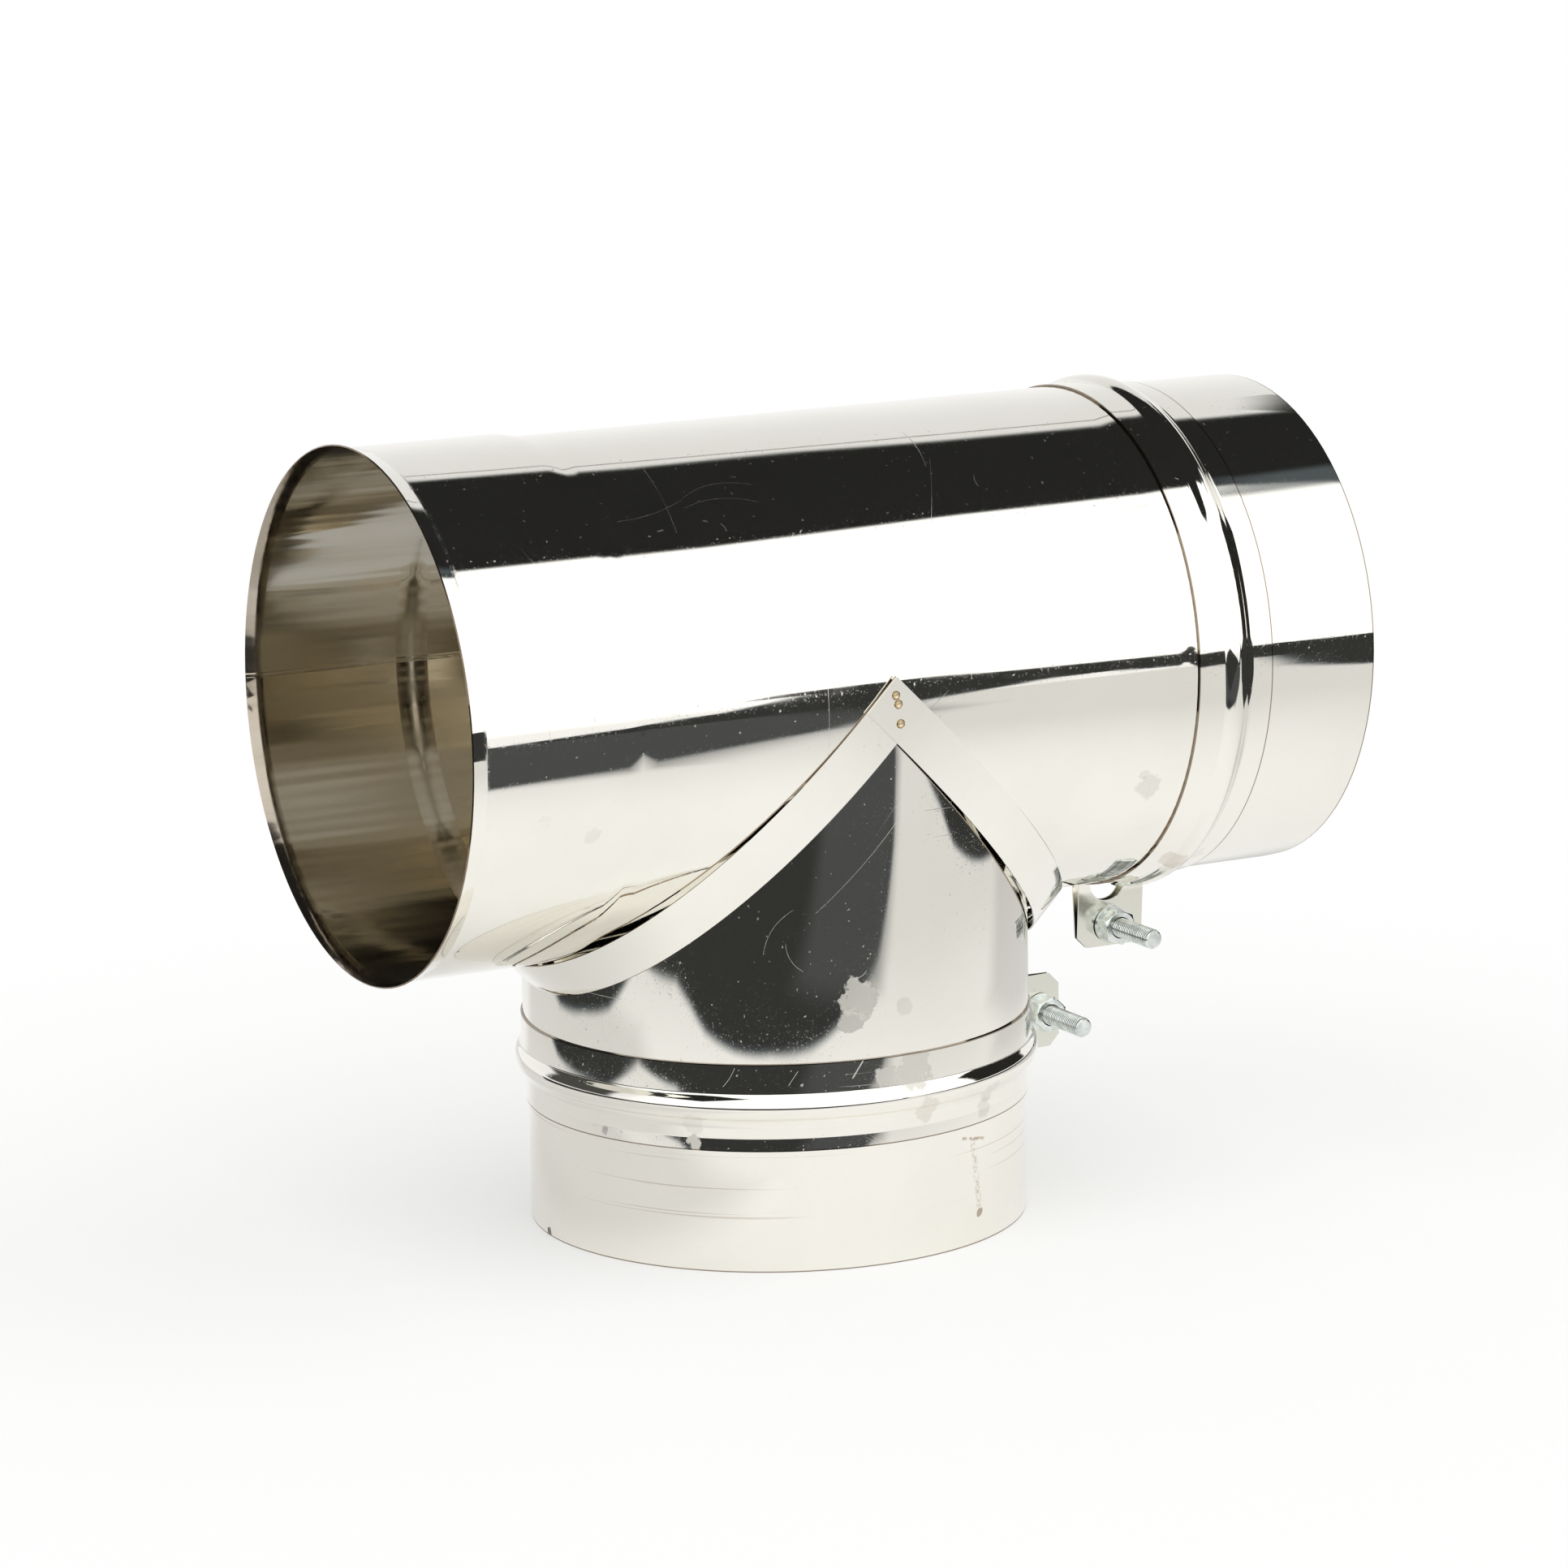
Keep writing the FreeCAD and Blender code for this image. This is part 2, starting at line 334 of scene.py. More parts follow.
class Rolled:
    """Where a point lies on a tube's sheet: along the axis, round it, and out from it."""

    def __init__(self, graph, along_x):
        self.along_x = along_x
        self.point = place(graph)
        split = graph.split(self.point)
        if along_x:
            self.along = split[0]
            side = graph.minus(split[2], run_height)
            out = (0.0, split[1], side)
        else:
            self.along = split[2]
            side = split[0]
            out = (side, split[1], 0.0)
        front = graph.times(split[1], -1.0)
        self.arc = graph.times(graph.math("ARCTAN2", side, front), body_radius)
        self.out = graph.joined(out)
        self.flat = graph.joined((self.along, self.arc, 0.0))


def inside_share(graph, rolled):
    """1 where the surface looks towards the tube's axis, 0 outside."""
    facing = graph.vector("DOT_PRODUCT", graph.normal(), rolled.out)
    return graph.ramp(facing, 0.02, -0.02)


def fine_rub(graph, rolled, turn, scale, amount):
    """Fine straight scratches in one direction, broken into short pieces."""
    turned = graph.turned(rolled.flat, math.radians(turn))
    lines = graph.noise(graph.scaled(turned, 18.0, scale, 1.0), 1.0, 1.0, 0.4)
    cover = graph.noise(graph.scaled(turned, 9.0, 22.0, 1.0), 1.0, 2.0, 0.6)
    shown = graph.times(graph.ramp(lines, 0.72, 0.775), graph.ramp(cover, 0.45, 0.62))
    return graph.times(shown, amount)


def line(graph, rolled, start, end, bow=0.0, width=0.00016):
    """One thin line on the unrolled sheet from start to end, bowed to one side."""
    run, rise = end[0] - start[0], end[1] - start[1]
    moved = graph.vector("SUBTRACT", rolled.flat, (*start, 0.0))
    split = graph.split(graph.turned(moved, -math.atan2(rise, run)))
    share = graph.math("DIVIDE", split[0], math.hypot(run, rise))
    room = graph.times(share, graph.minus(1.0, share))
    off = graph.apart(split[1], graph.times(room, 4 * bow))
    return graph.times(graph.ramp(off, width, 0.3 * width), graph.ramp(room, 0.0, 0.06))


def speckle(graph, rolled):
    """Dust and pits: small scattered points."""
    fine = graph.ramp(graph.noise(rolled.point, 1500.0, 0.0), 0.66, 0.78)
    coarse = graph.ramp(graph.noise(rolled.point, 640.0, 0.0), 0.80, 0.83)
    return graph.math("ADD", graph.times(fine, 0.35), coarse, clamp=True)


def smudge(graph, rolled, centre, size, amount):
    """A mark with an uneven edge, of about this radius round a place on the surface."""
    wobble = graph.noise(rolled.point, 130.0, 4.0, 0.65)
    away = graph.vector("DISTANCE", rolled.point, centre)
    reach = graph.times(graph.math("ADD", graph.times(wobble, 2.2), -0.1), size)
    return graph.ramp(graph.minus(away, reach), 0.12 * size, -0.12 * size, 0.0, amount)


def ogee(graph, way, length, rise):
    """Slope of an S of two parabolas that rises by this much between 0 and its length."""
    share = graph.math("DIVIDE", way, length)
    rest = graph.minus(1.0, share)
    near = graph.math("MAXIMUM", graph.math("MINIMUM", share, rest), 0.0)
    return graph.times(near, 4 * rise / length)


def step(graph, value, at, width, amount):
    """0 below a place and this amount above it, or the other way round for a negative width."""
    return graph.ramp(value, at - width / 2, at + width / 2, 0.0, amount)


def run_slope(graph, rolled):
    """How the run's radius changes along +X: lip, planished taper, swelling before the bead."""
    way = graph.minus(rolled.along, taper_start)
    taper = ogee(graph, way, taper_end - taper_start, -taper_drop)
    from_flat = graph.apart(rolled.arc, flat_height)
    pressed = graph.ramp(from_flat, flat_reach, flat_reach + flat_fade)
    near = graph.math("MAXIMUM", graph.minus(rolled.along, swell_start), 0.0)
    swell_end = band_low.x + swell_hidden
    before_band = graph.ramp(rolled.along, swell_end + short_fade, swell_end)
    swelling = graph.times(graph.times(near, swell_slope), before_band)
    lip = step(graph, rolled.along, run_low.x + lip_length, -lip_turn, -lip_slope)
    return graph.total([graph.times(taper, pressed), swelling, lip])


def band_slope(graph, rolled, crest, to_body, flare):
    """A band's bead: it bridges the foot on the body side and may turn out at its far edge."""
    toward = graph.times(graph.minus(rolled.along, crest), to_body)
    away = graph.times(toward, -1.0)
    bridging = step(graph, toward, bridge_start, bridge_turn, 1.0)
    rest = graph.minus(1.0, bridging)
    slopes = [graph.times(ogee(graph, toward, bead_flank, -bead_rise), rest),
              graph.times(bridging, -bridge_slope),
              ogee(graph, away, bead_flank, bead_drop)]
    if flare:
        slopes.append(step(graph, away, flare_start, flare_turn, -flare))
    return graph.times(graph.total(slopes), to_body)


def run_band_slope(graph, rolled):
    return band_slope(graph, rolled, run_crest, -1.0, 0.0)


def branch_band_slope(graph, rolled):
    return band_slope(graph, rolled, branch_crest, 1.0, flare_slope)


def straight(graph, rolled):
    """The slope of a plain cylinder."""
    return 0.0


def turned_normal(graph, rolled, slope):
    """The outward normal of a turned shape; edges, ears and the inside keep the mesh's own."""
    own = graph.normal()
    out = graph.vector("NORMALIZE", rolled.out)
    lean = graph.joined({0 if rolled.along_x else 2: graph.times(slope, -1.0)})
    exact = graph.vector("NORMALIZE", graph.vector("ADD", out, lean))
    there = graph.add("ShaderNodeVectorTransform", {0: exact}, vector_type="NORMAL",
                      convert_from="OBJECT", convert_to="WORLD").outputs[0]
    near = graph.ramp(graph.vector("DOT_PRODUCT", own, out), edge_cosine, sheet_cosine)
    on_tube = graph.ramp(graph.vector("LENGTH", rolled.out), sheet_reach, ear_reach, 1.0, 0.0)
    values = {0: graph.times(near, on_tube), 4: own, 5: there}
    return graph.add("ShaderNodeMix", values, data_type="VECTOR").outputs[1]


def seam(graph, rolled):
    """A flattened weld bead along the side that faces away."""
    half_turn = math.pi * body_radius
    away = graph.minus(half_turn, graph.math("ABSOLUTE", rolled.arc))
    beads = graph.noise(graph.scaled(rolled.flat, 420.0, 30.0, 1.0), 1.0, 1.0)
    ripple = graph.ramp(beads, 0.3, 0.7, 0.7, 1.0)
    return graph.times(graph.ramp(away, seam_half, seam_crown, 0.0, seam_height), ripple)


def leaning(graph, rolled):
    """The saddle strips lean over the joint, so that they look a little downwards."""
    return graph.times(graph.split(rolled.point)[2], strip_lean)


class Sheet:
    """Mirror-polished stainless sheet with rolling waves, fine scratches and dust. Marks, worn
    places, cut edges darkened with painted gap shade, and the inside are added to it call by call,
    each over those before."""

    def __init__(self, name, along_x):
        self.made, self.graph = material(name)
        self.rolled = Rolled(self.graph, along_x)
        graph, rolled = self.graph, self.rolled
        cloud = graph.noise(rolled.point, 14.0, 4.0, 0.6)
        self.colour = graph.mix(graph.ramp(cloud, 0.35, 0.7), sheet_light, sheet_dark)
        self.rub = graph.total([fine_rub(graph, rolled, *way) for way in rub_ways])
        mist = graph.noise(rolled.point, 55.0, 3.0, 0.65)
        self.roughs = [graph.ramp(mist, 0.35, 0.75, haze_low, haze_high),
                       graph.times(self.rub, rub_rough),
                       graph.times(speckle(graph, rolled), dust_rough)]
        self.wave = graph.noise(graph.scaled(rolled.flat, 7.0, 16.0, 1.0), 1.0, 1.0, 0.4)

    def roughen(self, share, amount):
        self.roughs.append(self.graph.times(share, amount))

    def tint(self, share, colour):
        self.colour = self.graph.mix(share, self.colour, colour)

    def scratch(self, lines):
        for each in lines:
            self.roughen(line(self.graph, self.rolled, *each), scratch_rough)

    def wear_ring(self, ring):
        graph = self.graph
        worn = graph.ramp(graph.noise(self.rolled.point, 260.0, 5.0, 0.75), 0.34, 0.72)
        off = graph.apart(self.rolled.along, ring)
        self.roughen(graph.ramp(off, 0.0016, 0.0002, 0.0, ring_rough), worn)

    def mark(self, marks):
        for centre, size, amount, tint in marks:
            share = smudge(self.graph, self.rolled, centre, size, amount)
            self.roughen(share, mark_rough)
            self.tint(self.graph.times(share, mark_tint), tint)

    def stain(self, stains):
        graph = self.graph
        for start, end, width, amount in stains:
            broken = graph.ramp(graph.noise(self.rolled.point, 700.0, 3.0, 0.7), 0.42, 0.60)
            share = graph.times(line(graph, self.rolled, start, end, 0.0, width), broken)
            self.tint(graph.times(share, amount), brown)

    def scuff(self, low, high, fade=0.003):
        """Brown rubbed lines round the tube between two places along it."""
        graph, along = self.graph, self.rolled.along
        turns = graph.noise(graph.scaled(self.rolled.flat, 950.0, 7.0, 1.0), 1.0, 1.0, 0.4)
        within = graph.times(graph.ramp(along, low - fade, low), graph.ramp(along, high + fade, high))
        share = graph.times(graph.ramp(turns, 0.66, 0.76, 0.0, scuff_tint), within)
        self.tint(share, brown)
        self.roughen(share, scuff_rough)

    def cut_rims_and_gap_shade(self, *rims):
        # Each rim is darkened as a cut edge, with painted shade of the gap beside it
        for rim in rims:
            off = self.graph.apart(self.rolled.along, rim)
            self.tint(self.graph.ramp(off, rim_width, rim_width / 2), cut_edge_and_shade)

    def cut_sides_and_gap_shade(self, way):
        """Edges whose faces look along a direction, darkened as cut edges with painted shade of the
        gap beside them.
        """
        graph = self.graph
        across = graph.math("ABSOLUTE", graph.vector("DOT_PRODUCT", graph.normal(), way))
        self.tint(graph.ramp(across, 0.6, 0.8), cut_edge_and_shade)

    def dull_ears(self):
        folded = self.graph.ramp(self.graph.vector("LENGTH", self.rolled.out), ear_start, ear_full)
        self.tint(folded, ear_metal)
        self.roughen(folded, ear_rough)

    def line_inside(self, lipped=False):
        """The duller, warmer and fluted inside of a tube, with painted shade darkening it within its
        lip.
        """
        graph, rolled = self.graph, self.rolled
        streaks = graph.noise(graph.scaled(rolled.flat, 3.0, 70.0, 1.0), 1.0, 4.0, 0.6)
        patches = graph.noise(rolled.point, 24.0, 3.0, 0.6)
        flutes = graph.noise(graph.scaled(rolled.flat, 2.0, 60.0, 1.0), 1.0, 2.0, 0.4)
        inner = graph.mix(graph.ramp(streaks, 0.3, 0.7), inside_light, inside_dark)
        inner = graph.mix(graph.ramp(patches, 0.5, 0.8, 0.0, 0.5), inner, inside_warm)
        if lipped:
            # Painted shade: the inside within the lip is darkened towards the cut edges' colour
            lip_end = run_low.x + lip_length
            lip = graph.ramp(rolled.along, lip_end + short_fade, lip_end - short_fade, 0.0, lip_shade)
            inner = graph.mix(lip, inner, cut_edge_and_shade)
        within = inside_share(graph, rolled)
        self.tint(within, inner)
        dulled = graph.ramp(streaks, 0.3, 0.7, inside_smooth, inside_rough)
        self.roughs = [graph.between(within, graph.total(self.roughs), dulled)]
        fluted = graph.times(flutes, graph.times(within, flute_strength))
        self.wave = graph.math("ADD", self.wave, fluted)

    def finish(self, slope=None, height=None):
        """The finished material, shaded as a turned shape with a slope, and raised by a height."""
        graph, rolled = self.graph, self.rolled
        turned = turned_normal(graph, rolled, slope(graph, rolled)) if slope else None
        normal = graph.bump(self.wave, wave_height, normal=turned)
        if height:
            normal = graph.bump(height(graph, rolled), 1.0, normal=normal)
        normal = graph.bump(self.rub, rub_depth, strength=0.25, normal=normal)
        graph.metal(self.colour, graph.total(self.roughs), normal)
        return self.made


# Marks: place, radius, strength and tint
run_marks = [((0.1186, -0.0896, 0.1720), 0.0052, 0.60, dull),
             ((0.1150, -0.0930, 0.1770), 0.0025, 0.45, dull),
             ((-0.1266, -0.0956, 0.1818), 0.0035, 0.35, dull),
             ((-0.1480, -0.0930, 0.1900), 0.0050, 0.20, dull)]
branch_marks = [((-0.0172, -0.0985, 0.1062), 0.0072, 1.00, dull),
                ((-0.0200, -0.0980, 0.0985), 0.0045, 0.90, dull),
                ((0.0020, -0.1000, 0.1010), 0.0032, 0.45, dull),
                ((0.0400, -0.0900, 0.0120), 0.0017, 0.90, brown),
                ((-0.0983, 0.0080, 0.0012), 0.0021, 1.00, soot)]
run_band_marks = [((0.1476, -0.0030, 0.0895), 0.0006, 1.00, soot),
                  ((0.1560, -0.0520, 0.1290), 0.0090, 0.35, dull),
                  ((0.1480, -0.0600, 0.1330), 0.0060, 0.30, brown)]
branch_band_marks = [((0.0060, -0.1020, 0.0770), 0.0075, 1.00, dull),
                     ((-0.0060, -0.1015, 0.0755), 0.0045, 0.80, dull),
                     ((0.0440, -0.0910, 0.0600), 0.0045, 0.50, dull),
                     ((0.0430, -0.0915, 0.0540), 0.0040, 0.50, dull),
                     ((0.0120, -0.1006, 0.0590), 0.0050, 0.22, brown),
                     ((-0.0948, -0.0348, 0.0513), 0.0026, 0.50, dull),
                     ((-0.0740, -0.0695, 0.0585), 0.0042, 0.35, dull),
                     ((-0.0740, -0.0695, 0.0500), 0.0036, 0.90, dull)]

# Scratches on the unrolled sheet: start, end, bow and width
run_lines = [((-0.0991, 0.0865), (-0.0660, 0.0950), -0.0022),
             ((-0.0680, 0.0940), (-0.0338, 0.0977), 0.0050),
             ((-0.0700, 0.0890), (-0.0356, 0.0883), 0.0042),
             ((-0.0746, 0.1150), (-0.0762, 0.0771), 0.0002, 0.00012),
             ((-0.0570, 0.0807), (-0.0558, 0.0767), 0.0006),
             ((0.0581, 0.0918), (0.0577, 0.0854), -0.0008, 0.0003),
             ((0.0451, 0.1056), (0.0224, 0.0525), 0.0, 0.00012),
             ((0.0420, 0.1240), (0.0400, 0.0980), 0.0012, 0.0003),
             ((-0.0285, 0.0300), (-0.0285, -0.0350), 0.0, 0.00012),
             ((-0.0297, -0.0241), (-0.0095, -0.0166), 0.0010),
             ((-0.0200, -0.0150), (0.0050, -0.0100), -0.0012, 0.00015)]
branch_lines = [((0.1393, -0.0349), (0.1754, 0.0017), 0.0010, 0.00015),
                ((0.1241, -0.0536), (0.1427, -0.0410), -0.0030),
                ((0.1146, -0.0195), (0.1172, -0.0136), 0.0012),
                ((0.1300, -0.0450), (0.1180, -0.0380), 0.0020, 0.00015)]
branch_band_lines = [((0.0753, -0.0204), (0.0828, -0.0155), 0.0, 0.0004),
                     ((0.0740, -0.0450), (0.0800, -0.0410), 0.0),
                     ((0.0735, -0.0700), (0.0815, -0.0650), 0.0005),
                     ((0.0745, 0.0060), (0.0800, 0.0200), 0.0008)]

# Stains on the unrolled branch: start, end, width and strength
branch_stains = [((0.0437, 0.0310), (0.0408, 0.0460), 0.0009, 0.75),
                 ((0.0430, 0.0375), (0.0120, 0.0420), 0.0022, 0.40)]
scuffs_start = 0.022


def run_sheet():
    sheet = Sheet("run_sheet", along_x=True)
    sheet.scratch(run_lines)
    sheet.wear_ring(run_low.x + lip_length)
    sheet.mark(run_marks)
    sheet.cut_rims_and_gap_shade(run_low.x, run_high.x)
    sheet.line_inside(lipped=True)
    return sheet.finish(run_slope, seam)


def branch_sheet():
    sheet = Sheet("branch_sheet", along_x=False)
    sheet.scratch(branch_lines)
    sheet.mark(branch_marks)
    sheet.stain(branch_stains)
    sheet.scuff(scuffs_start, foot_low.z)
    sheet.cut_rims_and_gap_shade(0.0)
    sheet.line_inside()
    return sheet.finish(straight, seam)


def strip_sheet(name, across):
    """A saddle strip's sheet; its cut edges look across the strip, up or down by 45 degrees, and are
    darkened with painted shade of the gap under them.
    """
    sheet = Sheet(name, along_x=True)
    sheet.cut_sides_and_gap_shade(Vector(across).normalized())
    return sheet.finish(height=leaning)


def run_band_sheet():
    sheet = Sheet("run_band_sheet", along_x=True)
    sheet.mark(run_band_marks)
    sheet.cut_rims_and_gap_shade(band_low.x, band_high.x)
    sheet.dull_ears()
    return sheet.finish(run_band_slope)


def branch_band_sheet():
    sheet = Sheet("branch_band_sheet", along_x=False)
    sheet.scratch(branch_band_lines)
    sheet.mark(branch_band_marks)
    sheet.cut_rims_and_gap_shade(foot_low.z, foot_high.z)
    sheet.dull_ears()
    return sheet.finish(branch_band_slope)


def zinc_plated(name):
    """Bright zinc: bluish, a little duller than the sheet, with painted shade dark in the thread's
    grooves.
    """
    made, graph = material(name)
    point = place(graph)
    cloud = graph.noise(point, 260.0, 4.0, 0.6)
    colour = graph.mix(graph.ramp(cloud, 0.35, 0.7), zinc_light, zinc_dark)
    # Painted shade: darker the deeper the thread's groove
    colour = graph.mix(graph.ramp(graph.attribute("groove"), 0.10, 0.65), colour, zinc_groove_shade)
    grain = graph.noise(point, 2600.0, 2.0, 0.6)
    rough = graph.ramp(cloud, 0.3, 0.75, 0.09, 0.20)
    graph.metal(colour, rough, graph.bump(grain, 0.00003, strength=0.25))
    return made


def heat_tinted(name):
    """Spot-weld metal: straw gold, browner towards the rim."""
    made, graph = material(name)
    grain = graph.noise(place(graph), 1800.0, 3.0, 0.7)
    outer = graph.math("ADD", graph.attribute("rim"), graph.times(grain, 0.5))
    colour = graph.mix(graph.ramp(outer, 0.75, 1.15), weld_gold, weld_brown)
    rough = graph.ramp(grain, 0.3, 0.7, 0.18, 0.42)
    graph.metal(colour, rough, graph.bump(grain, 0.00008, strength=0.6))
    return made


def dress(node, made):
    mesh = nodes[node].data
    for slot in range(len(mesh.materials)):
        mesh.materials[slot] = made


dress("run_tube", run_sheet())
dress("branch_tube", branch_sheet())
dress("left_saddle_strip", strip_sheet("left_strip_sheet", (1, 0, -1)))
dress("right_saddle_strip", strip_sheet("right_strip_sheet", (1, 0, 1)))
dress("run_clamp_band", run_band_sheet())
dress("branch_clamp_band", branch_band_sheet())
zinc = zinc_plated("zinc")
for clamp in ("run_clamp", "branch_clamp"):
    for part in ("_bolt", "_washer", "_nut"):
        dress(clamp + part, zinc)


def new_piece(name, mesh, made):
    mesh.materials.append(made)
    mesh.polygons.foreach_set("use_smooth", [True] * len(mesh.polygons))
    mesh.set_sharp_from_angle(angle=crease_angle)
    piece = bpy.data.objects.new(name, mesh)
    bpy.context.scene.collection.objects.link(piece)
    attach(piece, "root")
    return piece


def point_values(mesh, name, values):
    """One number at each corner point of a mesh, for its material to read."""
    mesh.attributes.new(name, "FLOAT", "POINT").data.foreach_set("value", values)


def turned_angles(columns):
    return [math.tau * column / columns for column in range(columns)]


def lofted(name, rings):
    """A closed mesh through rings of points, with its first and last ring filled."""
    count = len(rings[0])
    faces = [list(reversed(range(count)))]
    for row in range(len(rings) - 1):
        for column in range(count):
            after = (column + 1) % count
            faces.append([row * count + column, row * count + after,
                          (row + 1) * count + after, (row + 1) * count + column])
    faces.append([(len(rings) - 1) * count + column for column in range(count)])
    mesh = bpy.data.meshes.new(name)
    mesh.from_pydata([point for ring in rings for point in ring], [], faces)
    return mesh


def thread_at(along, angle):
    """Radius of the thread at a distance from the tip and an angle round it."""
    phase = (along / thread_pitch + angle / math.tau) % 1.0
    crest = min(max(thread_gain * (1 - abs(2 * phase - 1)) - thread_root, 0.0), 1.0)
    cut = thread_radius - thread_depth * (1 - crest)
    return min(cut, thread_radius - tip_chamfer + along)


def threaded_bolt(clamp):
    """Hexagon-head bolt with a real helical thread, where the CAD bolt stands."""
    low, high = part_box(clamp + "_bolt")
    middle = (low + high) / 2
    wide, tall = (high.x - low.x) / 2, (high.z - low.z) / 2
    flat = min(wide, tall)
    corner_turn = 0.0 if wide > tall else math.pi / 6

    def ring(reach, y):
        return [(middle.x + reach(angle) * math.cos(angle), y(angle),
                 middle.z + reach(angle) * math.sin(angle))
                for angle in turned_angles(thread_columns)]

    def hexagon(angle):
        off = (angle - corner_turn) % (math.pi / 3) - math.pi / 6
        return flat / math.cos(off)

    seat = high.y - head_height
    top = flat - corner_ease
    rows = round((seat - low.y) / thread_pitch * rows_a_turn)
    rings = []
    for row in range(rows + 1):
        along = (seat - low.y) * row / rows
        rings.append(ring(lambda angle: thread_at(along, angle), lambda angle: low.y + along))
    rings.append(ring(hexagon, lambda angle: seat))
    slant = math.tan(chamfer_angle)
    rings.append(ring(hexagon, lambda angle: high.y - (hexagon(angle) - top) * slant))
    rings.append(ring(lambda angle: top, lambda angle: high.y))
    mesh = lofted(clamp + "_threaded_bolt", rings)
    # The groove's depth at each corner, read by the zinc for its painted groove shade
    depths = []
    for corner in mesh.vertices:
        radius = math.hypot(corner.co.x - middle.x, corner.co.z - middle.z)
        on_thread = low.y + tip_chamfer < corner.co.y < seat
        depths.append(max(0.0, (thread_radius - radius) / thread_depth) if on_thread else 0.0)
    point_values(mesh, "groove", depths)
    piece = new_piece(clamp + "_threaded_bolt", mesh, zinc)
    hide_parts(clamp + "_bolt")


def spot_welds(name, face, outwards, spots, made):
    """Small weld nuggets with a raised rim, pressed into the lap of the strips."""
    draw = random.Random(name)
    corners, faces, rim = [], [], []
    for x, z in spots:
        first = len(corners)
        size = weld_radius * draw.uniform(0.9, 1.1)
        for share, lift in weld_profile:
            for angle in turned_angles(weld_columns):
                reach = size * share * draw.uniform(0.93, 1.07)
                corners.append((x + reach * math.cos(angle), face + outwards * lift,
                                z + reach * math.sin(angle)))
                rim.append(share)
        faces.append([first + column for column in range(weld_columns)])
        for row in range(len(weld_profile) - 1):
            inner = first + row * weld_columns
            outer = inner + weld_columns
            for column in range(weld_columns):
                after = (column + 1) % weld_columns
                faces.append([outer + column, outer + after, inner + after, inner + column])
    if outwards > 0:
        faces = [list(reversed(face_corners)) for face_corners in faces]
    mesh = bpy.data.meshes.new(name)
    mesh.from_pydata(corners, [], faces)
    point_values(mesh, "rim", rim)
    new_piece(name, mesh, made)


threaded_bolt("run_clamp")
threaded_bolt("branch_clamp")
tinted = heat_tinted("weld_metal")
weld_spots = [(-0.0006, run_height + 0.0058), (0.0004, run_height + 0.0023),
              (0.0013, run_height - 0.0053)]
spot_welds("front_lap_welds", lap_front.y, -1, weld_spots, tinted)
spot_welds("back_lap_welds", lap_back.y, 1, weld_spots, tinted)


def stage_mesh(name, corners, faces):
    mesh = bpy.data.meshes.new(name)
    mesh.from_pydata(corners, [], faces)
    piece = bpy.data.objects.new(name, mesh)
    bpy.context.scene.collection.objects.link(piece)
    return piece


def circle(radius, height):
    return [(radius * math.cos(angle), radius * math.sin(angle), height)
            for angle in turned_angles(circle_sides)]


def floor():
    """White floor: it takes the object's shadow, and glows evenly further out. Far in front it is
    as bright as the backdrop over it."""
    piece = stage_mesh("floor", circle(floor_radius, 0), [list(range(circle_sides))])
    made, graph = material("floor_white")
    point = place(graph)
    depth = graph.split(point)[1]
    far_front = graph.ramp(depth, far_floor_start, far_floor_end, 1.0, backdrop_front)
    paper = graph.add("ShaderNodeBsdfDiffuse", {"Color": floor_paper})
    share = graph.ramp(graph.vector("LENGTH", point), shadow_start, shadow_end, shadow_glow, 1.0)
    graph.blend(share, paper, graph.glow(white, far_front))
    piece.data.materials.append(made)


def only_reflected(piece, cover, colour, strength, fringe, most=1.0):
    """Paint for a studio card that only polished metal shows, clear where its cover is 0."""
    point_values(piece.data, "cover", cover)
    made, graph = material(piece.name)
    share = graph.attribute("cover")
    shade = graph.mix(graph.ramp(share, 0.2, 1.0), fringe, colour)
    clear = graph.add("ShaderNodeBsdfTransparent")
    graph.blend(graph.ramp(share, 0.0, 0.7, 0.0, most), clear, graph.glow(shade, strength))
    piece.data.materials.append(made)
    piece.visible_camera = False
    piece.visible_diffuse = False
    piece.visible_shadow = False


def level(points, height):
    return [(x, y, height) for x, y in points]


def card(name, height, inner, outer, **paint):
    """A level card that fades from its inner outline to its outer one."""
    count = len(inner)
    faces = [list(range(count))]
    for corner in range(count):
        after = (corner + 1) % count
        faces.append([corner, after, count + after, count + corner])
    piece = stage_mesh(name, level(inner, height) + level(outer, height), faces)
    only_reflected(piece, [1.0] * count + [0.0] * count, **paint)


def grown(outline, by):
    """A flat outline moved outwards by this much."""
    corners = [Vector(corner) for corner in outline]
    area = sum(a.cross(b) for a, b in zip(corners, corners[1:] + corners[:1]))
    outwards = by if area > 0 else -by
    moved = []
    for before, corner, after in zip(corners[-1:] + corners[:-1], corners,
                                     corners[1:] + corners[:1]):
        first, second = (corner - before).normalized(), (after - corner).normalized()
        mean = (first + second).normalized()
        reach = outwards / max(mean.dot(first), 0.4)
        moved.append((corner.x + mean.y * reach, corner.y - mean.x * reach))
    return moved


def soft_card(name, height, outline, soft, **paint):
    """A level card that fades over the same width all round."""
    card(name, height, outline, grown(outline, soft), **paint)


